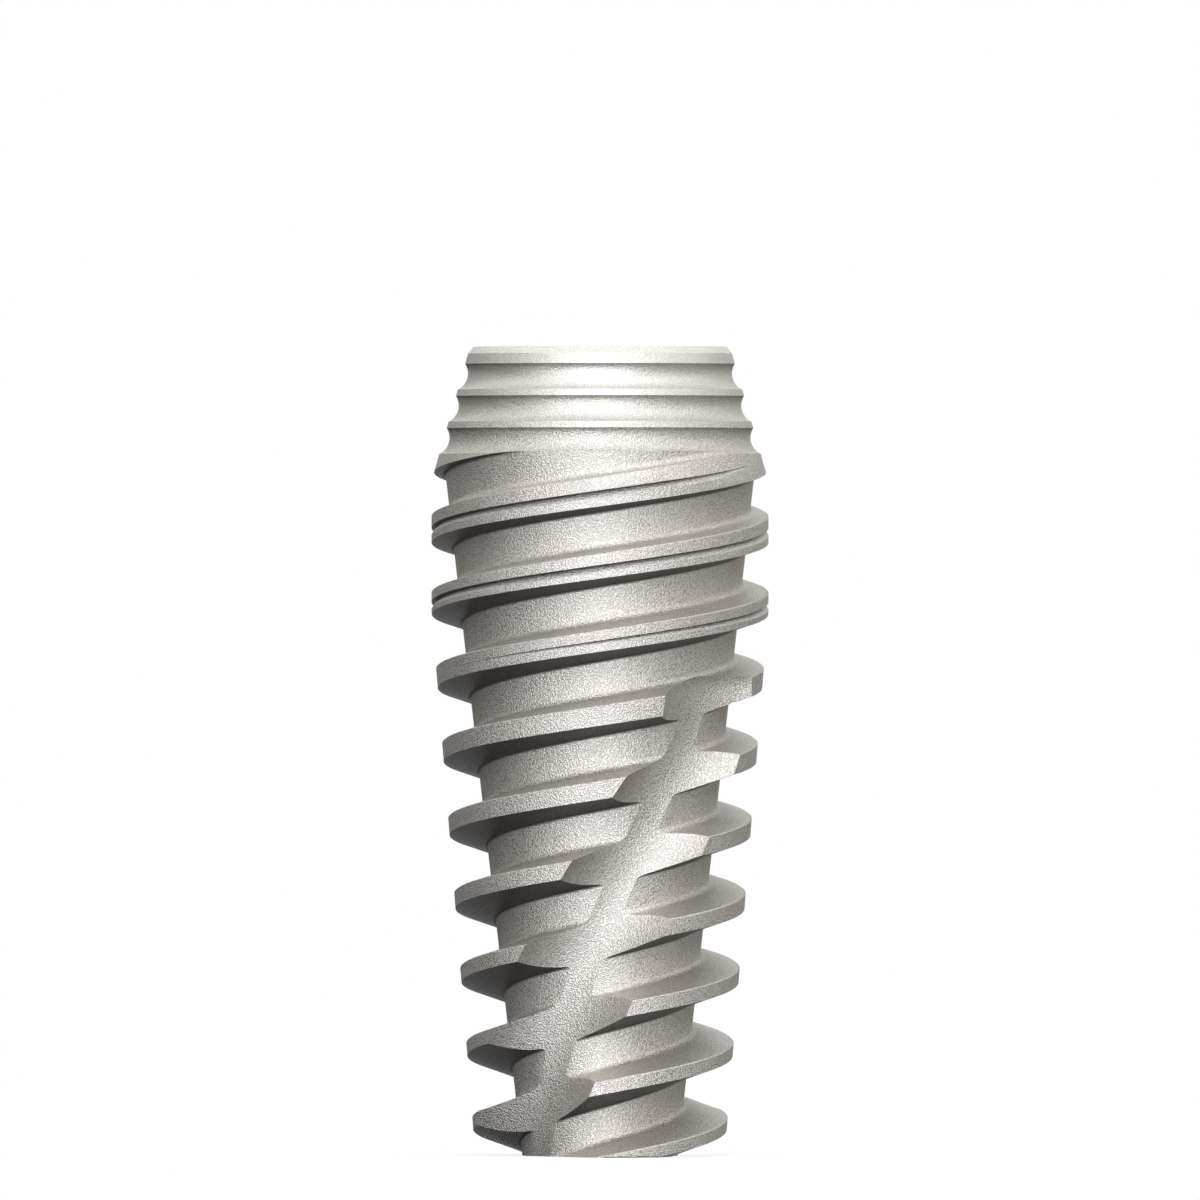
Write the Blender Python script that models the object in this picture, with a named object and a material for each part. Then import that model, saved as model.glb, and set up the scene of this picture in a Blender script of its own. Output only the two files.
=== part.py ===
"""Dental implant fixture: one titanium screw, turned and milled from bar.

Metres, +Z up. The tip stands on the plane Z = 0 with its centre at the origin.
The thread and the flutes are right-handed and repeat every half turn.
"""
import math

import bmesh
import bpy
from mathutils import Vector

MM = 0.001

# Connection inside: lead-in bevel, hexagon, round relief, screw bore
HEX_ACROSS_FLATS = 2.42 * MM
HEX_DEPTH = 1.50 * MM
LEAD_IN = 0.033 * MM
RELIEF_RADIUS = 1.08 * MM
RELIEF_LENGTH = 0.70 * MM
SCREW_BORE_RADIUS = 0.76 * MM
SCREW_BORE_LENGTH = 3.28 * MM
DRILL_POINT = math.radians(59)

# Turned outline, with the platform ring and its bevel round the mouth
TOTAL_LENGTH = 10.078 * MM
BODY_RADIUS = 2.10 * MM
APEX_RADIUS = 1.554 * MM
PARALLEL_LENGTH = 1.62 * MM
PLATFORM_WIDTH = 0.149 * MM
RIM_BEVEL_HEIGHT = 0.083 * MM
RIM_BEVEL_WIDTH = 0.066 * MM
RIM_LAND = 0.129 * MM
SHOULDER_BEVEL = 0.338 * MM

# Ring grooves round the collar, concave arcs with narrow lands between them
RING_GROOVES = 3
RING_WIDTH = 0.32 * MM
RING_LAND = 0.08 * MM
RING_DEPTH = 0.076 * MM

# Screw thread; the phase is the height of a crest's middle on the +X side
THREAD_STARTS = 2
THREAD_PITCH = 0.926 * MM
THREAD_PHASE = 0.381 * MM
THREAD_DEPTH_SHOULDER = 0.184 * MM
THREAD_DEPTH_APEX = 0.586 * MM
ROOT_WIDTH = 0.456 * MM
UPPER_FLANK = math.radians(14)
LOWER_FLANK = math.radians(17)
UPPER_FILLET = 0.10 * MM
LOWER_FILLET = 0.05 * MM

# Fine notch along the crest of the upper turns
NOTCH_DEPTH = 0.057 * MM
NOTCH_UPPER_SLOPE = math.radians(24)
NOTCH_LOWER_SLOPE = math.radians(49)

# Cutting flutes; each follows a helix, runs straight at last and then lifts out
FLUTES = 2
FLUTE_RADIUS = 1.27 * MM
FLUTE_SINK = 0.028 * MM
FLUTE_LEAD = 20.0 * MM
FLUTE_START_ANGLE = math.radians(-140.9)
FLUTE_LENGTH = 5.74 * MM
FLUTE_STRAIGHT = 0.53 * MM
FLUTE_TURN_BLEND = 0.40 * MM
FLUTE_EXIT_RADIUS = 0.60 * MM
FLUTE_HALF_ARC = math.radians(65)

# Facets, and how far a cutter reaches past the metal
FACETS = 36
RING_FACETS = 5
UPPER_FILLET_FACETS = 2
LOWER_FILLET_FACETS = 1
FLUTE_FACETS = 10
FLUTE_STEP = 0.30 * MM
FLUTE_EXIT_STEPS = 8
CLEAR = 0.15 * MM
WELD = 0.0005 * MM

HEX_CORNER_RADIUS = HEX_ACROSS_FLATS / math.sqrt(3)
MOUTH_RADIUS = HEX_CORNER_RADIUS + LEAD_IN
PLATFORM_RADIUS = MOUTH_RADIUS + PLATFORM_WIDTH
RIM_RADIUS = PLATFORM_RADIUS + RIM_BEVEL_WIDTH
RIM_HEIGHT = TOTAL_LENGTH - RIM_BEVEL_HEIGHT
RING_PITCH = RING_WIDTH + RING_LAND
SHOULDER_HEIGHT = RIM_HEIGHT - RIM_LAND - RING_GROOVES * RING_PITCH + RING_LAND - SHOULDER_BEVEL
TAPER_TOP = SHOULDER_HEIGHT - PARALLEL_LENGTH
THREAD_LEAD = THREAD_STARTS * THREAD_PITCH
TURN = 2 * math.pi


def body_radius(height):
    """Radius over the crests: a cone from the tip, then a parallel stretch."""
    if height > TAPER_TOP:
        return BODY_RADIUS
    return APEX_RADIUS + (BODY_RADIUS - APEX_RADIUS) * height / TAPER_TOP


def root_radius(height):
    """Radius of the thread's floor, a cone that runs on into the collar."""
    at_apex = APEX_RADIUS - THREAD_DEPTH_APEX
    at_shoulder = BODY_RADIUS - THREAD_DEPTH_SHOULDER
    return at_apex + (at_shoulder - at_apex) * height / SHOULDER_HEIGHT


def collar_radius(height):
    """Radius of the collar's cone, which the ring grooves are cut into."""
    share = (height - SHOULDER_HEIGHT) / (RIM_HEIGHT - SHOULDER_HEIGHT)
    return BODY_RADIUS + (RIM_RADIUS - BODY_RADIUS) * share


def ring_groove(top):
    """Points of one concave ring groove, from its lower lip to its upper lip."""
    low = Vector((collar_radius(top - RING_WIDTH), top - RING_WIDTH))
    high = Vector((collar_radius(top), top))
    chord = high - low
    outward = Vector((chord.y, -chord.x)).normalized()
    radius = ((chord.length / 2) ** 2 + RING_DEPTH ** 2) / (2 * RING_DEPTH)
    centre = (low + high) / 2 + outward * (radius - RING_DEPTH)
    first = math.atan2(low.y - centre.y, low.x - centre.x) % TURN
    last = math.atan2(high.y - centre.y, high.x - centre.x) % TURN
    points = []
    for step in range(RING_FACETS + 1):
        angle = first + (last - first) * step / RING_FACETS
        points.append((centre.x + radius * math.cos(angle),
                       centre.y + radius * math.sin(angle)))
    return points


def turned_outline():
    """Half section of the turned blank, from the tip's centre round to the bore's point."""
    outline = [(0.0, 0.0), (APEX_RADIUS, 0.0), (BODY_RADIUS, TAPER_TOP),
               (BODY_RADIUS, SHOULDER_HEIGHT)]
    for ring in reversed(range(RING_GROOVES)):
        outline += ring_groove(RIM_HEIGHT - RIM_LAND - ring * RING_PITCH)
    outline += [(RIM_RADIUS, RIM_HEIGHT), (PLATFORM_RADIUS, TOTAL_LENGTH),
                (MOUTH_RADIUS, TOTAL_LENGTH)]
    flat_radius = HEX_ACROSS_FLATS / 2
    hex_floor = TOTAL_LENGTH - HEX_DEPTH
    relief_floor = hex_floor - RELIEF_LENGTH
    bore_top = relief_floor - (RELIEF_RADIUS - SCREW_BORE_RADIUS)
    bore_floor = bore_top - SCREW_BORE_LENGTH
    outline += [(flat_radius, TOTAL_LENGTH - (MOUTH_RADIUS - flat_radius)),
                (flat_radius, hex_floor),
                (RELIEF_RADIUS, hex_floor),
                (RELIEF_RADIUS, relief_floor),
                (SCREW_BORE_RADIUS, bore_top),
                (SCREW_BORE_RADIUS, bore_floor),
                (0.0, bore_floor - SCREW_BORE_RADIUS / math.tan(DRILL_POINT))]
    return outline


def new_object(name, mesh_data):
    """Write a bmesh to a new object with its faces pointing out."""
    bmesh.ops.remove_doubles(mesh_data, verts=mesh_data.verts, dist=WELD)
    bmesh.ops.recalc_face_normals(mesh_data, faces=mesh_data.faces)
    mesh = bpy.data.meshes.new(name)
    mesh_data.to_mesh(mesh)
    mesh_data.free()
    made = bpy.data.objects.new(name, mesh)
    bpy.context.scene.collection.objects.link(made)
    return made


def turned(name, outline):
    """Spin an outline of (radius, height) once round Z."""
    work = bmesh.new()
    corners = [work.verts.new((radius, 0, height)) for radius, height in outline]
    edges = [work.edges.new(pair) for pair in zip(corners, corners[1:])]
    bmesh.ops.spin(work, geom=corners + edges, cent=(0, 0, 0), axis=(0, 0, 1),
                   angle=TURN, steps=FACETS, use_merge=True)
    return new_object(name, work)


def swept(name, sections):
    """Skin a closed bar over sections that have the same number of corners."""
    work = bmesh.new()
    loops = [[work.verts.new(corner) for corner in section] for section in sections]
    for here, there in zip(loops, loops[1:]):
        for index, corner in enumerate(here):
            after = (index + 1) % len(here)
            work.faces.new((corner, here[after], there[after], there[index]))
    work.faces.new(loops[0])
    work.faces.new(loops[-1])
    bmesh.ops.triangulate(work, faces=work.faces)
    return new_object(name, work)


def polar(radius, angle, height):
    """Point at a radius and an angle round Z."""
    return Vector((radius * math.cos(angle), radius * math.sin(angle), height))


def fillet_points(flank, radius, facets):
    """Root fillet as (offset from the floor's corner, height over the floor)."""
    reach = radius * math.tan((math.pi / 2 - flank) / 2)
    points = []
    for step in range(facets + 1):
        angle = (math.pi / 2 - flank) * step / facets
        points.append((radius * math.sin(angle) - reach, radius * (1 - math.cos(angle))))
    return points


def thread_groove_section(angle, centre):
    """Section of the groove between two crests, reaching past the crests.

    The flank above it is the underside of a crest, the one below is the top of the next.
    """
    rise = body_radius(centre) + CLEAR - root_radius(centre)
    side = ROOT_WIDTH / 2
    above = [(side + along, up)
             for along, up in fillet_points(LOWER_FLANK, LOWER_FILLET, LOWER_FILLET_FACETS)]
    above.append((side + rise * math.tan(LOWER_FLANK), rise))
    below = [(-side - along, up)
             for along, up in fillet_points(UPPER_FLANK, UPPER_FILLET, UPPER_FILLET_FACETS)]
    below.append((-side - rise * math.tan(UPPER_FLANK), rise))
    outline = list(reversed(above)) + below
    return [polar(root_radius(centre + along) + up, angle, centre + along)
            for along, up in outline]


def helix_stations(first_height, last_height, start_angle):
    """Angle and height along one thread start, on the blank's facet edges."""
    step = TURN / FACETS
    first = math.floor((first_height - THREAD_PHASE) / THREAD_LEAD * FACETS)
    last = math.ceil((last_height - THREAD_PHASE) / THREAD_LEAD * FACETS)
    for station in range(first, last + 1):
        height = THREAD_PHASE + THREAD_LEAD * station / FACETS
        yield start_angle + station * step, height


def thread_groove(name, start_angle):
    """Cutter for one start: its floor lies on the root cone, its ends lie off the metal."""
    half_pitch = THREAD_PITCH / 2
    below_tip = -THREAD_PITCH
    past_shoulder = SHOULDER_HEIGHT + THREAD_PITCH
    sections = [thread_groove_section(angle, height + half_pitch)
                for angle, height in helix_stations(below_tip, past_shoulder, start_angle)]
    return swept(name, sections)


def crest_notch(name, start_angle):
    """Cutter for the V notch. Its root keeps one radius, so it fades out where the body tapers."""
    root = BODY_RADIUS - NOTCH_DEPTH
    rise = NOTCH_DEPTH + CLEAR
    fades_low = TAPER_TOP * (root - APEX_RADIUS) / (BODY_RADIUS - APEX_RADIUS)
    collar_share = NOTCH_DEPTH / (BODY_RADIUS - RIM_RADIUS)
    fades_high = SHOULDER_HEIGHT + (RIM_HEIGHT - SHOULDER_HEIGHT) * collar_share
    sections = []
    for angle, height in helix_stations(fades_low - CLEAR, fades_high + CLEAR, start_angle):
        sections.append([
            polar(root, angle, height),
            polar(root + rise, angle, height - rise * math.tan(NOTCH_LOWER_SLOPE)),
            polar(root + rise, angle, height + rise * math.tan(NOTCH_UPPER_SLOPE))])
    return swept(name, sections)


def flute_turn(height):
    """Angle that the flute has turned through, easing to none where it runs straight."""
    straight_from = FLUTE_LENGTH - FLUTE_STRAIGHT
    past = min(max(height - straight_from, 0.0), FLUTE_TURN_BLEND)
    turned_height = min(height, straight_from) + past - past ** 2 / (2 * FLUTE_TURN_BLEND)
    return TURN * turned_height / FLUTE_LEAD


def flute(name, start_angle):
    """Cutter for one flute: a wide round gouge that follows the root cone and lifts out."""
    full_lift = body_radius(FLUTE_LENGTH) + CLEAR - root_radius(FLUTE_LENGTH) + FLUTE_SINK
    exit_angle = math.acos(1 - min(full_lift / FLUTE_EXIT_RADIUS, 1.0))
    count = math.ceil((FLUTE_LENGTH + CLEAR) / FLUTE_STEP)
    stations = [(-CLEAR + (FLUTE_LENGTH + CLEAR) * step / count, 0.0) for step in range(count)]
    for step in range(FLUTE_EXIT_STEPS + 1):
        swing = exit_angle * step / FLUTE_EXIT_STEPS
        stations.append((FLUTE_LENGTH + FLUTE_EXIT_RADIUS * math.sin(swing),
                         FLUTE_EXIT_RADIUS * (1 - math.cos(swing))))
    sections = []
    for height, lift in stations:
        floor = root_radius(height) - FLUTE_SINK + lift
        heading = start_angle + flute_turn(height)
        axis = polar(floor + FLUTE_RADIUS, heading, height)
        corners = []
        for facet in range(FLUTE_FACETS + 1):
            swing = FLUTE_HALF_ARC * (2 * facet / FLUTE_FACETS - 1)
            corners.append(axis - polar(FLUTE_RADIUS, heading + swing, 0.0))
        sections.append(corners)
    return swept(name, sections)


def hexagon(name):
    """Cutter for the internal hexagon, open above the platform."""
    work = bmesh.new()
    bmesh.ops.create_cone(work, cap_ends=True, segments=6, radius1=HEX_CORNER_RADIUS,
                          radius2=HEX_CORNER_RADIUS, depth=HEX_DEPTH + CLEAR)
    bmesh.ops.translate(work, verts=work.verts,
                        vec=(0, 0, TOTAL_LENGTH - HEX_DEPTH + (HEX_DEPTH + CLEAR) / 2))
    return new_object(name, work)


def weld(mesh):
    """Merge the corners that a cut leaves on top of each other."""
    work = bmesh.new()
    work.from_mesh(mesh)
    bmesh.ops.remove_doubles(work, verts=work.verts, dist=WELD)
    bmesh.ops.dissolve_degenerate(work, edges=work.edges, dist=WELD)
    work.to_mesh(mesh)
    work.free()


def cut(body, cutter):
    """Take the cutter out of the body and delete it."""
    difference = body.modifiers.new("cut", "BOOLEAN")
    difference.operation = "DIFFERENCE"
    difference.solver = "EXACT"
    difference.object = cutter
    bpy.context.view_layer.objects.active = body
    bpy.ops.object.modifier_apply(modifier=difference.name)
    bpy.data.objects.remove(cutter)
    weld(body.data)


def titanium():
    """Blasted and etched titanium, light warm grey."""
    material = bpy.data.materials.new("etched_titanium")
    material.use_nodes = True
    surface = material.node_tree.nodes["Principled BSDF"]
    surface.inputs["Base Color"].default_value = (0.56, 0.545, 0.52, 1.0)
    surface.inputs["Metallic"].default_value = 1.0
    surface.inputs["Roughness"].default_value = 0.45
    return material


def implant_body():
    """Turn the blank, broach the hexagon, cut the thread and then the flutes."""
    body = turned("implant_body", turned_outline())
    cut(body, hexagon("hexagon"))
    for start in range(THREAD_STARTS):
        start_angle = TURN * start / THREAD_STARTS
        cut(body, thread_groove("thread_groove", start_angle))
        cut(body, crest_notch("crest_notch", start_angle))
    for number in range(FLUTES):
        cut(body, flute("flute", FLUTE_START_ANGLE + TURN * number / FLUTES))
    body.data.materials.clear()
    body.data.materials.append(titanium())
    body.data.shade_smooth()
    body.data.set_sharp_from_angle(angle=math.radians(25))
    return body


for existing in list(bpy.data.objects):
    bpy.data.objects.remove(existing)
implant_body()
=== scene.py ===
import math

import bmesh
import bpy
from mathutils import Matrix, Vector


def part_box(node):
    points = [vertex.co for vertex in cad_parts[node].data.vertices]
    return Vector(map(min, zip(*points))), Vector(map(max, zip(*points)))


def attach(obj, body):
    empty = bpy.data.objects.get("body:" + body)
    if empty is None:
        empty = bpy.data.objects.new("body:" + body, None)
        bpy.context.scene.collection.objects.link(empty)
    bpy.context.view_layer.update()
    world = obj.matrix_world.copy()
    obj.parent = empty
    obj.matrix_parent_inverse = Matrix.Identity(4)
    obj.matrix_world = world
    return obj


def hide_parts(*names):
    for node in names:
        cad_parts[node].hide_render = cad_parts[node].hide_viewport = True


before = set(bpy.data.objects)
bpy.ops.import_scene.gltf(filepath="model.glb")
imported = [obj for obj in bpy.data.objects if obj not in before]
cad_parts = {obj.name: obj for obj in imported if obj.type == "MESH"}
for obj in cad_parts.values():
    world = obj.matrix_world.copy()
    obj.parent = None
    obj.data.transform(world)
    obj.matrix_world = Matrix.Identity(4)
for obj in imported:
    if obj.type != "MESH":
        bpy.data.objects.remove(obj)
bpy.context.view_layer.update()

# The blank. A titanium bar is turned to a cone that is widest below the collar, with three shallow
# ring grooves round the collar and a small bevel round the platform. Its half section is drawn as
# one line and spun once round the axis.
MM = 0.001
TURN = 2 * math.pi
low_corner, high_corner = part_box("implant_body")
TOTAL_LENGTH = high_corner.z
BODY_RADIUS = (high_corner.x - low_corner.x) / 2
APEX_RADIUS = 1.554 * MM
TIP_EDGE = 0.012 * MM
PARALLEL_LENGTH = 1.62 * MM
MOUTH_RADIUS = 1.430 * MM
PLATFORM_WIDTH = 0.149 * MM
RIM_BEVEL_HEIGHT = 0.083 * MM
RIM_BEVEL_WIDTH = 0.066 * MM
RIM_LAND = 0.129 * MM
SHOULDER_BEVEL = 0.338 * MM
RING_GROOVES = 3
RING_WIDTH = 0.32 * MM
RING_LAND = 0.08 * MM
RING_DEPTH = 0.076 * MM
RING_FACETS = 18
FACETS = 180
WELD = 0.0002 * MM

PLATFORM_RADIUS = MOUTH_RADIUS + PLATFORM_WIDTH
RIM_RADIUS = PLATFORM_RADIUS + RIM_BEVEL_WIDTH
RIM_HEIGHT = TOTAL_LENGTH - RIM_BEVEL_HEIGHT
RING_PITCH = RING_WIDTH + RING_LAND
SHOULDER_HEIGHT = RIM_HEIGHT - RIM_LAND - RING_GROOVES * RING_PITCH + RING_LAND - SHOULDER_BEVEL
TAPER_TOP = SHOULDER_HEIGHT - PARALLEL_LENGTH


def body_radius(height):
    """Radius over the crests: a cone from the tip, then a parallel stretch."""
    if height > TAPER_TOP:
        return BODY_RADIUS
    return APEX_RADIUS + (BODY_RADIUS - APEX_RADIUS) * height / TAPER_TOP


def collar_radius(height):
    """Radius of the collar's cone, which the ring grooves are cut into."""
    share = (height - SHOULDER_HEIGHT) / (RIM_HEIGHT - SHOULDER_HEIGHT)
    return BODY_RADIUS + (RIM_RADIUS - BODY_RADIUS) * share


def ring_groove(top):
    """Points of one concave ring groove, from its lower lip to its upper lip."""
    low = Vector((collar_radius(top - RING_WIDTH), top - RING_WIDTH))
    high = Vector((collar_radius(top), top))
    chord = high - low
    outward = Vector((chord.y, -chord.x)).normalized()
    radius = ((chord.length / 2) ** 2 + RING_DEPTH ** 2) / (2 * RING_DEPTH)
    centre = (low + high) / 2 + outward * (radius - RING_DEPTH)
    first = math.atan2(low.y - centre.y, low.x - centre.x) % TURN
    last = math.atan2(high.y - centre.y, high.x - centre.x) % TURN
    points = []
    for step in range(RING_FACETS + 1):
        angle = first + (last - first) * step / RING_FACETS
        points.append((centre.x + radius * math.cos(angle), centre.y + radius * math.sin(angle)))
    return points


def drawn_line(name, points):
    """Draw a line through points of (radius, height) by extruding one point along it."""
    bpy.ops.object.select_all(action="DESELECT")
    bpy.ops.mesh.primitive_plane_add(size=MM)
    made = bpy.context.object
    made.name = name
    bpy.ops.object.mode_set(mode="EDIT")
    bpy.ops.mesh.select_mode(type="VERT")
    bpy.ops.mesh.select_all(action="SELECT")
    bpy.ops.mesh.merge(type="CENTER")
    bpy.ops.transform.translate(value=(points[0][0], 0, points[0][1]))
    for here, there in zip(points, points[1:]):
        step = (there[0] - here[0], 0, there[1] - here[1])
        bpy.ops.mesh.extrude_region_move(TRANSFORM_OT_translate={"value": step})
    bpy.ops.mesh.select_all(action="SELECT")
    return made


def spun(name, points, facets):
    """Spin a drawn line once round Z and close it along the axis."""
    made = drawn_line(name, points)
    bpy.ops.mesh.spin(steps=facets, angle=TURN, center=(0, 0, 0), axis=(0, 0, 1))
    bpy.ops.mesh.select_all(action="SELECT")
    bpy.ops.mesh.remove_doubles(threshold=WELD)
    bpy.ops.mesh.normals_make_consistent(inside=False)
    bpy.ops.object.mode_set(mode="OBJECT")
    return made


blank_line = [(0.0, 0.0), (APEX_RADIUS - TIP_EDGE, 0.0), (body_radius(TIP_EDGE), TIP_EDGE),
              (BODY_RADIUS, TAPER_TOP), (BODY_RADIUS, SHOULDER_HEIGHT)]
for ring in reversed(range(RING_GROOVES)):
    blank_line += ring_groove(RIM_HEIGHT - RIM_LAND - ring * RING_PITCH)
blank_line += [(RIM_RADIUS, RIM_HEIGHT), (PLATFORM_RADIUS, TOTAL_LENGTH), (0.0, TOTAL_LENGTH)]
body = spun("implant_fixture", blank_line, FACETS)


# The connection. A drill and a broach leave a lead-in bevel, a hexagon with eased corners, a round
# relief and a bore with a drill point. The bore holds the fine thread of the abutment screw, which
# is one V section on a Screw modifier. All of it is machined metal, smoother than the outside.
HEX_SIDES = 6
HEX_ACROSS_FLATS = 2.42 * MM
HEX_DEPTH = 1.50 * MM
HEX_CORNER_EASE = 0.05 * MM
HEX_CORNER_FACETS = 4
PILOT_CLEARANCE = 0.010 * MM
RELIEF_RADIUS = 1.08 * MM
RELIEF_LENGTH = 0.70 * MM
SCREW_BORE_RADIUS = 0.76 * MM
SCREW_BORE_LENGTH = 3.28 * MM
DRILL_POINT = math.radians(59)
BORE_FACETS = 96
SCREW_PITCH = 0.35 * MM
SCREW_DEPTH = 0.15 * MM
SCREW_ROOT_HALF = 0.030 * MM
SCREW_HALF_ANGLE = math.radians(30)
SCREW_TURNS = 8
CLEAR = 0.15 * MM

etched = bpy.data.materials.new("blasted_titanium")
machined = bpy.data.materials.new("machined_titanium")
body.data.materials.append(etched)
body.data.materials.append(machined)


def cut(cutter):
    """Take the cutter out of the body, delete it, and merge the corners that the cut doubles."""
    difference = body.modifiers.new("cut", "BOOLEAN")
    difference.operation = "DIFFERENCE"
    difference.solver = "EXACT"
    difference.material_mode = "TRANSFER"
    difference.object = cutter
    bpy.ops.object.select_all(action="DESELECT")
    bpy.context.view_layer.objects.active = body
    body.select_set(True)
    bpy.ops.object.modifier_apply(modifier=difference.name)
    bpy.data.objects.remove(cutter)
    bpy.ops.object.mode_set(mode="EDIT")
    bpy.ops.mesh.select_all(action="SELECT")
    bpy.ops.mesh.remove_doubles(threshold=WELD)
    bpy.ops.mesh.dissolve_degenerate(threshold=WELD)
    bpy.ops.mesh.delete_loose()
    bpy.ops.object.mode_set(mode="OBJECT")


pilot_radius = HEX_ACROSS_FLATS / 2 - PILOT_CLEARANCE
hex_floor = TOTAL_LENGTH - HEX_DEPTH
relief_floor = hex_floor - RELIEF_LENGTH
bore_top = relief_floor - (RELIEF_RADIUS - SCREW_BORE_RADIUS)
bore_floor = bore_top - SCREW_BORE_LENGTH
socket = spun("socket", [
    (0.0, TOTAL_LENGTH + CLEAR), (MOUTH_RADIUS + CLEAR, TOTAL_LENGTH + CLEAR),
    (pilot_radius, TOTAL_LENGTH - (MOUTH_RADIUS - pilot_radius)), (pilot_radius, hex_floor),
    (RELIEF_RADIUS, hex_floor), (RELIEF_RADIUS, relief_floor), (SCREW_BORE_RADIUS, bore_top),
    (SCREW_BORE_RADIUS, bore_floor),
    (0.0, bore_floor - SCREW_BORE_RADIUS / math.tan(DRILL_POINT))], BORE_FACETS)
socket.data.materials.append(machined)
cut(socket)

bpy.ops.object.select_all(action="DESELECT")
bpy.ops.mesh.primitive_cylinder_add(vertices=HEX_SIDES, radius=HEX_ACROSS_FLATS / math.sqrt(3),
                                    depth=HEX_DEPTH + CLEAR,
                                    location=(0, 0, TOTAL_LENGTH + (CLEAR - HEX_DEPTH) / 2))
hexagon = bpy.context.object
bpy.ops.object.transform_apply(location=True, rotation=True, scale=True)
bpy.ops.object.mode_set(mode="EDIT")
bpy.ops.mesh.select_mode(type="EDGE")
bpy.ops.mesh.select_all(action="DESELECT")
hex_mesh = bmesh.from_edit_mesh(hexagon.data)
for edge in hex_mesh.edges:
    ends = [corner.co.z for corner in edge.verts]
    edge.select_set(max(ends) - min(ends) > HEX_DEPTH)
bmesh.update_edit_mesh(hexagon.data)
bpy.ops.mesh.bevel(offset=HEX_CORNER_EASE, segments=HEX_CORNER_FACETS)
bpy.ops.object.mode_set(mode="OBJECT")
hexagon.data.materials.append(machined)
cut(hexagon)


def drawn_screw(name, points, turns, pitch, facets):
    """Sweep a closed section round Z with a Screw modifier and fill its two ends."""
    made = drawn_line(name, points + points[:1])
    bpy.ops.mesh.remove_doubles(threshold=WELD)
    bpy.ops.object.mode_set(mode="OBJECT")
    screw = made.modifiers.new("screw", "SCREW")
    screw.axis = "Z"
    screw.angle = TURN
    screw.screw_offset = pitch
    screw.iterations = turns
    screw.steps = facets
    screw.render_steps = facets
    bpy.ops.object.modifier_apply(modifier=screw.name)
    bpy.ops.object.mode_set(mode="EDIT")
    bpy.ops.mesh.select_all(action="SELECT")
    bpy.ops.mesh.remove_doubles(threshold=WELD)
    bpy.ops.mesh.fill_holes(sides=0)
    bpy.ops.mesh.select_all(action="SELECT")
    bpy.ops.mesh.normals_make_consistent(inside=False)
    bpy.ops.object.mode_set(mode="OBJECT")
    return made


screw_root = SCREW_BORE_RADIUS + SCREW_DEPTH
screw_inside = SCREW_BORE_RADIUS - SCREW_DEPTH / 2
screw_spread = SCREW_ROOT_HALF + (screw_root - screw_inside) * math.tan(SCREW_HALF_ANGLE)
first_turn = bore_top - SCREW_TURNS * SCREW_PITCH - SCREW_PITCH / 2
screw_thread = drawn_screw("screw_thread", [
    (screw_inside, first_turn - screw_spread), (screw_root, first_turn - SCREW_ROOT_HALF),
    (screw_root, first_turn + SCREW_ROOT_HALF), (screw_inside, first_turn + screw_spread)],
    SCREW_TURNS + 1, SCREW_PITCH, BORE_FACETS)
screw_thread.data.materials.append(machined)
cut(screw_thread)


# The bone thread. Two cutters start half a turn apart. Each leaves a groove with a flat floor on a
# steeper cone than the crests, a rounded corner below it and a tighter one above it, and a hair
# bevel along both crest edges. Its depth grows towards the tip, so it is skinned over sections.
THREAD_STARTS = 2
THREAD_PITCH = 0.926 * MM
THREAD_PHASE = 0.381 * MM
THREAD_DEPTH_SHOULDER = 0.184 * MM
THREAD_DEPTH_APEX = 0.586 * MM
ROOT_WIDTH = 0.456 * MM
UPPER_FLANK = math.radians(14)
LOWER_FLANK = math.radians(17)
UPPER_FILLET = 0.10 * MM
LOWER_FILLET = 0.05 * MM
FILLET_FACETS = 5
CREST_EDGE = 0.008 * MM
CREST_EDGE_RUN = 1.6 * CREST_EDGE
CREST_EDGE_RISE = 0.2 * CREST_EDGE
THREAD_LEAD = THREAD_STARTS * THREAD_PITCH


def root_radius(height):
    """Radius of the thread's floor, a cone that runs on into the collar."""
    at_apex = APEX_RADIUS - THREAD_DEPTH_APEX
    at_shoulder = BODY_RADIUS - THREAD_DEPTH_SHOULDER
    return at_apex + (at_shoulder - at_apex) * height / SHOULDER_HEIGHT


def polar(radius, angle, height):
    """Point at a radius and an angle round Z."""
    return Vector((radius * math.cos(angle), radius * math.sin(angle), height))


def skinned(name, sections):
    """Skin a closed bar over sections that have the same number of corners."""
    work = bmesh.new()
    loops = [[work.verts.new(corner) for corner in section] for section in sections]
    for here, there in zip(loops, loops[1:]):
        for index, corner in enumerate(here):
            after = (index + 1) % len(here)
            work.faces.new((corner, here[after], there[after], there[index]))
    work.faces.new(loops[0])
    work.faces.new(loops[-1])
    bmesh.ops.triangulate(work, faces=work.faces)
    bmesh.ops.recalc_face_normals(work, faces=work.faces)
    mesh = bpy.data.meshes.new(name)
    work.to_mesh(mesh)
    work.free()
    mesh.materials.append(etched)
    made = bpy.data.objects.new(name, mesh)
    bpy.context.scene.collection.objects.link(made)
    return made


def flank_points(flank, fillet, depth):
    """One side of the groove as (offset from the floor's corner, height over the floor)."""
    reach = fillet * math.tan((math.pi / 2 - flank) / 2)
    points = []
    for step in range(FILLET_FACETS + 1):
        angle = (math.pi / 2 - flank) * step / FILLET_FACETS
        points.append((fillet * math.sin(angle) - reach, fillet * (1 - math.cos(angle))))
    edge = (depth - CREST_EDGE) * math.tan(flank)
    points.append((edge, depth - CREST_EDGE))
    points.append((edge + CREST_EDGE_RUN, depth + CREST_EDGE_RISE))
    points.append((edge + CREST_EDGE_RUN, depth + CLEAR))
    return points


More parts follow.
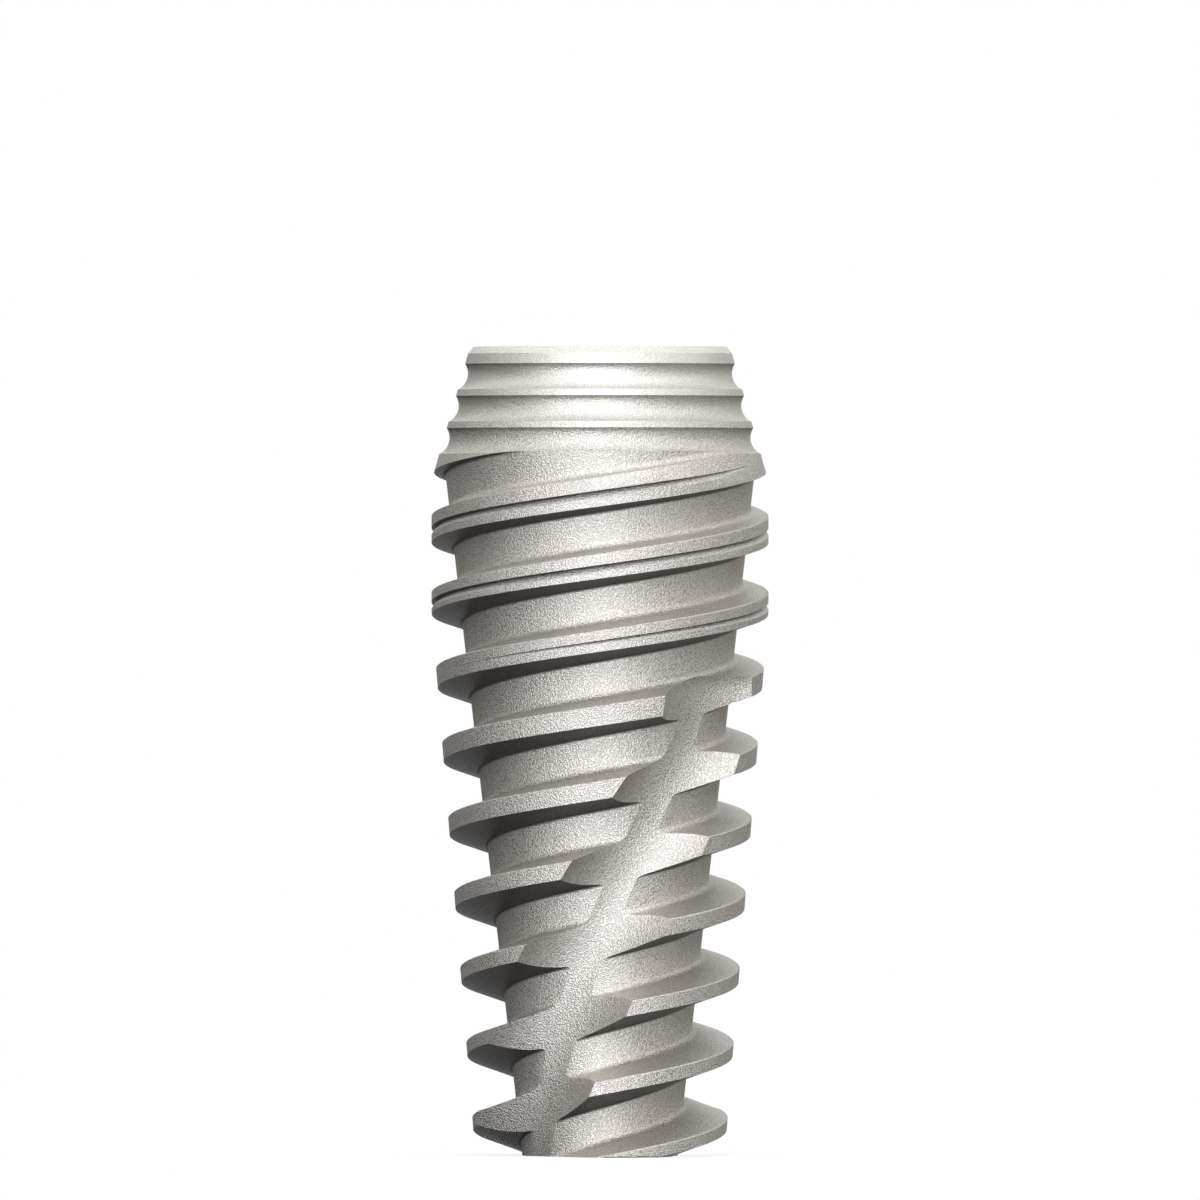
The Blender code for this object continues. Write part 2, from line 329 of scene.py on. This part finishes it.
def thread_groove_section(angle, centre):
    """Section of the groove between two crests: the underside of one, the top of the next."""
    depth = body_radius(centre) - root_radius(centre)
    side = ROOT_WIDTH / 2
    above = [(side + along, up) for along, up in flank_points(LOWER_FLANK, LOWER_FILLET, depth)]
    below = [(-side - along, up) for along, up in flank_points(UPPER_FLANK, UPPER_FILLET, depth)]
    return [polar(root_radius(centre + along) + up, angle, centre + along)
            for along, up in list(reversed(above)) + below]


def helix_stations(first_height, last_height, start_angle, offset=0.0):
    """Angle and height along one thread start, on the blank's facet edges or offset from them."""
    first = math.floor((first_height - THREAD_PHASE) / THREAD_LEAD * FACETS)
    last = math.ceil((last_height - THREAD_PHASE) / THREAD_LEAD * FACETS)
    for station in range(first, last + 1):
        along = (station + offset) / FACETS
        yield start_angle + TURN * along, THREAD_PHASE + THREAD_LEAD * along


for start in range(THREAD_STARTS):
    stations = helix_stations(-THREAD_PITCH, SHOULDER_HEIGHT + THREAD_PITCH,
                              TURN * start / THREAD_STARTS)
    cut(skinned("thread_groove", [thread_groove_section(angle, height + THREAD_PITCH / 2)
                                  for angle, height in stations]))


# The notch. A pointed tool follows the crest of the upper turns and leaves a fine V along it. Its
# point keeps one radius, so the notch fades out by itself where the crests taper away below it and
# where the collar narrows above it.
NOTCH_DEPTH = 0.057 * MM
NOTCH_UPPER_SLOPE = math.radians(20)
NOTCH_LOWER_SLOPE = math.radians(51)
NOTCH_LIFT = 0.012 * MM
NOTCH_OFFSET = 0.37

notch_root = BODY_RADIUS - NOTCH_DEPTH
notch_rise = NOTCH_DEPTH + CLEAR
notch_low = TAPER_TOP * (notch_root - APEX_RADIUS) / (BODY_RADIUS - APEX_RADIUS) - CLEAR
collar_share = NOTCH_DEPTH / (BODY_RADIUS - RIM_RADIUS)
notch_high = SHOULDER_HEIGHT + (RIM_HEIGHT - SHOULDER_HEIGHT) * collar_share + CLEAR
for start in range(THREAD_STARTS):
    stations = helix_stations(notch_low, notch_high, TURN * start / THREAD_STARTS, NOTCH_OFFSET)
    cut(skinned("crest_notch", [
        [polar(notch_root + out, angle, height + NOTCH_LIFT + up) for out, up in (
            (0, 0), (notch_rise, -notch_rise * math.tan(NOTCH_LOWER_SLOPE)),
            (notch_rise, notch_rise * math.tan(NOTCH_UPPER_SLOPE)))]
        for angle, height in stations]))


# The cutting flutes. A ball-ended mill follows the root cone up from the tip on a steep spiral,
# runs straight for the last stretch and lifts out, so each flute ends in a scoop. The body is then
# whole, and its curved faces are smoothed while its edges stay sharp.
FLUTES = 2
FLUTE_RADIUS = 1.27 * MM
FLUTE_SINK = 0.028 * MM
FLUTE_LEAD = 20.0 * MM
FLUTE_START_ANGLE = math.radians(-140.9)
FLUTE_LENGTH = 5.74 * MM
FLUTE_STRAIGHT = 0.53 * MM
FLUTE_TURN_BLEND = 0.40 * MM
FLUTE_EXIT_RADIUS = 0.60 * MM
FLUTE_HALF_ARC = math.radians(65)
FLUTE_FACETS = 48
FLUTE_STEP = 0.08 * MM
FLUTE_EXIT_STEPS = 24
SMOOTH_ANGLE = math.radians(18)
FLAT_WEIGHT = 75


def flute_turn(height):
    """Angle that the flute has turned through, easing to none where it runs straight."""
    straight_from = FLUTE_LENGTH - FLUTE_STRAIGHT
    past = min(max(height - straight_from, 0.0), FLUTE_TURN_BLEND)
    turned_height = min(height, straight_from) + past - past ** 2 / (2 * FLUTE_TURN_BLEND)
    return TURN * turned_height / FLUTE_LEAD


def flute_section(start_angle, height, lift):
    """Level section of the mill's path, an arc that is open on its outer side."""
    floor = root_radius(height) - FLUTE_SINK + lift
    heading = start_angle + flute_turn(height)
    middle = polar(floor + FLUTE_RADIUS, heading, height)
    return [middle - polar(FLUTE_RADIUS, heading + FLUTE_HALF_ARC * (2 * facet / FLUTE_FACETS - 1), 0)
            for facet in range(FLUTE_FACETS + 1)]


full_lift = body_radius(FLUTE_LENGTH) + CLEAR - root_radius(FLUTE_LENGTH) + FLUTE_SINK
exit_angle = math.acos(1 - min(full_lift / FLUTE_EXIT_RADIUS, 1.0))
flute_steps = math.ceil((FLUTE_LENGTH + CLEAR) / FLUTE_STEP)
flute_path = [(-CLEAR + (FLUTE_LENGTH + CLEAR) * step / flute_steps, 0.0)
              for step in range(flute_steps)]
for step in range(FLUTE_EXIT_STEPS + 1):
    swing = exit_angle * step / FLUTE_EXIT_STEPS
    flute_path.append((FLUTE_LENGTH + FLUTE_EXIT_RADIUS * math.sin(swing),
                       FLUTE_EXIT_RADIUS * (1 - math.cos(swing))))
for flute in range(FLUTES):
    start_angle = FLUTE_START_ANGLE + TURN * flute / FLUTES
    cut(skinned("flute", [flute_section(start_angle, height, lift) for height, lift in flute_path]))

bpy.ops.object.shade_smooth_by_angle(angle=SMOOTH_ANGLE)
flattened = body.modifiers.new("flattened", "WEIGHTED_NORMAL")
flattened.mode = "FACE_AREA_WITH_ANGLE"
flattened.weight = FLAT_WEIGHT
flattened.keep_sharp = True
bpy.ops.object.modifier_apply(modifier=flattened.name)
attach(body, "root")
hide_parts("implant_body")


# The blasted and acid-etched skin. Grit and acid leave the outside a pale warm grey with fine dark
# pits that run into each other. The collar is finer and paler, up to the ivory bevel of the platform,
# whose paler tone is partly its machined finish and partly a painted highlight. The thread's undersides
# carry painted shade, but not the flat tip, so each corner keeps how far it looks down.
TITANIUM = (0.758, 0.714, 0.659, 1)
TITANIUM_SHADE = (0.725, 0.683, 0.630, 1)
COLLAR_TITANIUM = (0.755, 0.725, 0.671, 1)
RIM_TONE_AND_PAINTED_HIGHLIGHT = (0.81, 0.786, 0.709, 1)
RIM_EDGE = 0.006 * MM
UNDERSIDE_PAINTED_SHADE = (0.094, 0.088, 0.085, 1)
UNDERSIDE_FACING = (0.20, 0.85)
TIP_FACING = -0.99
ETCHED_METAL = 0.85
ETCHED_ROUGHNESS = (0.36, 0.48)
RIM_ROUGHNESS = 0.32
PIT_SCALE = 54000
PIT_DETAIL = 1.5
PIT_RANGE = (0.30, 0.70)
PIT_HEIGHT = 0.0046 * MM
COLLAR_PIT_HEIGHT = 0.0026 * MM
PIT_SHADE = 0.62
COLLAR_PIT_SHADE = 0.82
CLOUD_SCALE = 1400
CLOUD_DETAIL = 2.0
CLOUD_RANGE = (0.35, 0.65)

# How far each corner looks down masks the painted shade on the thread's undersides.
facing_down = [0.0 if face.normal.z < TIP_FACING else -body.data.corner_normals[corner].vector.z
               for face in body.data.polygons for corner in face.loop_indices]
body.data.attributes.new("facing_down", "FLOAT", "CORNER").data.foreach_set("value", facing_down)


def noise(tree, place, scale, detail):
    """Noise over the object, as its output socket."""
    node = tree.nodes.new("ShaderNodeTexNoise")
    node.inputs["Scale"].default_value = scale
    node.inputs["Detail"].default_value = detail
    tree.links.new(place, node.inputs["Vector"])
    return node.outputs["Fac"]


def ranged(tree, value, low, high, to_low, to_high):
    """Map a value from one range to another, eased at both ends."""
    node = tree.nodes.new("ShaderNodeMapRange")
    node.interpolation_type = "SMOOTHSTEP"
    tree.links.new(value, node.inputs["Value"])
    for label, number in (("From Min", low), ("From Max", high), ("To Min", to_low), ("To Max", to_high)):
        node.inputs[label].default_value = number
    return node.outputs["Result"]


def started(material):
    """Give a material a metal Principled shader and return its tree, shader and place socket."""
    material.use_nodes = True
    tree = material.node_tree
    shader = tree.nodes["Principled BSDF"]
    shader.inputs["Metallic"].default_value = 1.0
    place = tree.nodes.new("ShaderNodeTexCoord")
    return tree, shader, place.outputs["Object"]


def blended(tree, share, first, second):
    """Mix two colours, each a value or a socket, by a share and return the colour socket."""
    node = tree.nodes.new("ShaderNodeMix")
    node.data_type = "RGBA"
    tree.links.new(share, node.inputs["Factor"])
    colour_inputs = [socket for socket in node.inputs if socket.type == "RGBA"]
    for socket, colour in zip(colour_inputs, (first, second)):
        if isinstance(colour, tuple):
            socket.default_value = colour
        else:
            tree.links.new(colour, socket)
    return [socket for socket in node.outputs if socket.type == "RGBA"][0]


def bumped(tree, height, distance, shader):
    """Feed a height to the shader's normal and return the bump."""
    bump = tree.nodes.new("ShaderNodeBump")
    bump.inputs["Distance"].default_value = distance
    tree.links.new(height, bump.inputs["Height"])
    tree.links.new(bump.outputs["Normal"], shader.inputs["Normal"])
    return bump


tree, shader, place = started(etched)
shader.inputs["Metallic"].default_value = ETCHED_METAL
pits = ranged(tree, noise(tree, place, PIT_SCALE, PIT_DETAIL), *PIT_RANGE, 0.0, 1.0)
clouds = ranged(tree, noise(tree, place, CLOUD_SCALE, CLOUD_DETAIL), *CLOUD_RANGE, 0.0, 1.0)
facing = tree.nodes.new("ShaderNodeAttribute")
facing.attribute_name = "facing_down"
underside_painted_shade = ranged(tree, facing.outputs["Fac"], *UNDERSIDE_FACING, 0.0, 1.0)
coordinates = tree.nodes.new("ShaderNodeSeparateXYZ")
tree.links.new(place, coordinates.inputs["Vector"])
collar = ranged(tree, coordinates.outputs["Z"], SHOULDER_HEIGHT, RIM_HEIGHT, 0.0, 1.0)
rim = ranged(tree, coordinates.outputs["Z"], RIM_HEIGHT - RIM_EDGE, RIM_HEIGHT, 0.0, 1.0)
skin = blended(tree, collar, blended(tree, clouds, TITANIUM_SHADE, TITANIUM), COLLAR_TITANIUM)
# The platform's bevel takes a paler ivory tone, partly its machined finish and partly a painted
# highlight.
skin = blended(tree, rim, skin, RIM_TONE_AND_PAINTED_HIGHLIGHT)
speckled = tree.nodes.new("ShaderNodeVectorMath")
speckled.operation = "SCALE"
# Painted shade darkens the undersides where their corners look down.
tree.links.new(blended(tree, underside_painted_shade, skin, UNDERSIDE_PAINTED_SHADE), speckled.inputs[0])
speckle = ranged(tree, pits, 0.0, 1.0, PIT_SHADE, 1.0)
tree.links.new(ranged(tree, collar, 0.0, 1.0, PIT_SHADE, COLLAR_PIT_SHADE), speckle.node.inputs["To Min"])
tree.links.new(speckle, speckled.inputs["Scale"])
tree.links.new(speckled.outputs["Vector"], shader.inputs["Base Color"])
dulled = tree.nodes.new("ShaderNodeMath")
tree.links.new(ranged(tree, pits, 0.0, 1.0, *ETCHED_ROUGHNESS), dulled.inputs[0])
tree.links.new(ranged(tree, rim, 0.0, 1.0, 0.0, RIM_ROUGHNESS), dulled.inputs[1])
tree.links.new(dulled.outputs["Value"], shader.inputs["Roughness"])
bump = bumped(tree, pits, PIT_HEIGHT, shader)
tree.links.new(ranged(tree, collar, 0.0, 1.0, PIT_HEIGHT, COLLAR_PIT_HEIGHT), bump.inputs["Distance"])


# The machined faces. The tools leave fine rings in the mouth, the hexagon and the bore, which are
# bright and smoother than the etched skin.
MACHINED_COLOUR = (0.62, 0.60, 0.57, 1)
MACHINED_SHADE = (0.52, 0.50, 0.47, 1)
MACHINED_ROUGHNESS = (0.22, 0.34)
TOOL_RING = 16000
TOOL_RING_WANDER = 1.5
TOOL_RING_DETAIL = 1.0
TOOL_RING_HEIGHT = 0.0008 * MM

tree, shader, place = started(machined)
rings = tree.nodes.new("ShaderNodeTexWave")
rings.wave_type = "BANDS"
rings.bands_direction = "Z"
rings.inputs["Scale"].default_value = TOOL_RING
rings.inputs["Distortion"].default_value = TOOL_RING_WANDER
rings.inputs["Detail"].default_value = TOOL_RING_DETAIL
tree.links.new(place, rings.inputs["Vector"])
tree.links.new(blended(tree, rings.outputs["Fac"], MACHINED_SHADE, MACHINED_COLOUR),
               shader.inputs["Base Color"])
tree.links.new(ranged(tree, rings.outputs["Fac"], 0.0, 1.0, *MACHINED_ROUGHNESS),
               shader.inputs["Roughness"])
bumped(tree, rings.outputs["Fac"], TOOL_RING_HEIGHT, shader)


# The floor. A small plain white disc carries the fixture's soft shadow and runs out into the white
# background. It is clear from below, where it would hide the tip, and the metal doesn't mirror it.
FLOOR_RADIUS = 5.0 * MM
FLOOR_DROP = 0.004 * MM
FLOOR_FACETS = 96
SHADOW_SHARE = 0.16
SHADOW_REACH = (1.4 * MM, 3.6 * MM)
WHITE = (1, 1, 1, 1)

bpy.ops.object.select_all(action="DESELECT")
bpy.ops.mesh.primitive_circle_add(vertices=FLOOR_FACETS, radius=FLOOR_RADIUS, fill_type="NGON",
                                  location=(0, 0, -FLOOR_DROP))
floor = bpy.context.object
floor.name = "floor"
paper = bpy.data.materials.new("white_floor")
paper.use_nodes = True
tree = paper.node_tree
tree.nodes.remove(tree.nodes["Principled BSDF"])


def mixed_shaders(tree, share, first, second):
    """Mix two shaders by a socket and return the shader socket."""
    node = tree.nodes.new("ShaderNodeMixShader")
    tree.links.new(share, node.inputs["Fac"])
    tree.links.new(first, node.inputs[1])
    tree.links.new(second, node.inputs[2])
    return node.outputs["Shader"]


place = tree.nodes.new("ShaderNodeTexCoord").outputs["Object"]
reach = tree.nodes.new("ShaderNodeVectorMath")
reach.operation = "LENGTH"
tree.links.new(place, reach.inputs[0])
matt = tree.nodes.new("ShaderNodeBsdfDiffuse")
matt.inputs["Color"].default_value = WHITE
glow = tree.nodes.new("ShaderNodeEmission")
glow.inputs["Color"].default_value = WHITE
clear = tree.nodes.new("ShaderNodeBsdfTransparent")
below = tree.nodes.new("ShaderNodeNewGeometry").outputs["Backfacing"]
rays = tree.nodes.new("ShaderNodeLightPath")
mirrored = tree.nodes.new("ShaderNodeMath")
mirrored.operation = "MAXIMUM"
tree.links.new(rays.outputs["Is Glossy Ray"], mirrored.inputs[0])
tree.links.new(rays.outputs["Is Transmission Ray"], mirrored.inputs[1])
seen_share = ranged(tree, reach.outputs["Value"], *SHADOW_REACH, SHADOW_SHARE, 0.0)
seen_floor = mixed_shaders(tree, seen_share, glow.outputs["Emission"], matt.outputs["BSDF"])
lit_floor = mixed_shaders(tree, mirrored.outputs["Value"], matt.outputs["BSDF"], clear.outputs["BSDF"])
any_floor = mixed_shaders(tree, rays.outputs["Is Camera Ray"], lit_floor, seen_floor)
tree.links.new(mixed_shaders(tree, below, any_floor, clear.outputs["BSDF"]),
               tree.nodes["Material Output"].inputs["Surface"])
floor.data.materials.append(paper)


# The studio. A small tent of plain panels stands round the fixture out of the camera's sight, pale
# above, dark below and on the left, and open behind, where the metal shows the white background.
# Two soft lamps in front, one low and one high, give the long highlight.
TENT_RADIUS = 0.13
TENT_CENTRE = 0.006
TENT_AZIMUTHS = (-34, 34, 56, 101, 171, 189, 259, 304, 326)
TENT_ELEVATIONS = (-90, -25, 0, 25, 90)
TENT_TONES = ((0.00, 0.30, 0.44, 0.50, 0.40, 0.06, 0.04, 0.00),
              (1.00, 0.00, 0.03, 0.14, None, 0.04, 0.00, 1.00),
              (1.00, 1.00, 1.00, 0.53, None, 0.32, 0.30, 1.00),
              (1.00, 1.00, 1.35, 1.00, 0.20, 1.00, 1.00, 0.95))
LAMPS = (("low_lamp", -4, -4, 0.060, 0.066, 2.5), ("high_lamp", 0, 50, 0.085, 0.092, 1.25))
LAMP_COLOUR = (0.94, 0.98, 1.08)
LAMP_DISTANCE = 0.08


def around(azimuth, elevation, radius):
    """Point round the fixture, with azimuth 0 in front of it and 90 on its right."""
    across, up = math.radians(azimuth), math.radians(elevation)
    return Vector((radius * math.cos(up) * math.sin(across), -radius * math.cos(up) * math.cos(across),
                   TENT_CENTRE + radius * math.sin(up)))


tent_mesh = bpy.data.meshes.new("tent")
corners, panels, tones = [], [], []
for row, row_tones in enumerate(TENT_TONES):
    for column, tone in enumerate(row_tones):
        if tone is None:
            continue
        low, high = TENT_ELEVATIONS[row:row + 2]
        left, right = TENT_AZIMUTHS[column:column + 2]
        panels.append([len(corners) + index for index in range(4)])
        corners += [around(left, low, TENT_RADIUS), around(right, low, TENT_RADIUS),
                    around(right, high, TENT_RADIUS), around(left, high, TENT_RADIUS)]
        tones.append(tone)
tent_mesh.from_pydata(corners, [], panels)
tent_mesh.attributes.new("tone", "FLOAT", "FACE").data.foreach_set("value", tones)
tent = bpy.data.objects.new("tent", tent_mesh)
bpy.context.scene.collection.objects.link(tent)
tent.visible_camera = False
cloth = bpy.data.materials.new("tent_cloth")
cloth.use_nodes = True
tree = cloth.node_tree
tree.nodes.remove(tree.nodes["Principled BSDF"])
tone_value = tree.nodes.new("ShaderNodeAttribute")
tone_value.attribute_name = "tone"
glow = tree.nodes.new("ShaderNodeEmission")
tree.links.new(tone_value.outputs["Fac"], glow.inputs["Strength"])
tree.links.new(glow.outputs["Emission"], tree.nodes["Material Output"].inputs["Surface"])
tent_mesh.materials.append(cloth)

for name, azimuth, elevation, width, tall, radiance in LAMPS:
    bpy.ops.object.light_add(type="AREA", location=around(azimuth, elevation, LAMP_DISTANCE),
                             rotation=(math.radians(90 - elevation), 0, math.radians(azimuth)))
    lamp = bpy.context.object
    lamp.name = name
    lamp.data.shape = "RECTANGLE"
    lamp.data.size, lamp.data.size_y = width, tall
    lamp.data.energy = radiance * math.pi * width * tall
    lamp.data.color = LAMP_COLOUR
    lamp.visible_camera = False

scene = bpy.context.scene
scene.world = bpy.data.worlds.new("white_background")
scene.world.use_nodes = True
background = scene.world.node_tree.nodes["Background"]
background.inputs["Color"].default_value = WHITE
background.inputs["Strength"].default_value = 1.0
scene.view_settings.view_transform = "Standard"

# The camera. It stands level with the upper third of the fixture and looks at it from far off
# through a long lens, as the photograph does.
CAMERA_DISTANCE = 0.400
CAMERA_HEIGHT = 6.923 * MM
SENSOR = 36.0
PIXELS = 1200
PIXELS_PER_METRE = 80240

bpy.ops.object.camera_add(location=(0, -CAMERA_DISTANCE, CAMERA_HEIGHT),
                          rotation=(math.radians(90), 0, 0))
camera = bpy.context.object
camera.data.sensor_width = SENSOR
camera.data.lens = SENSOR * CAMERA_DISTANCE / (PIXELS / PIXELS_PER_METRE)
scene.camera = camera
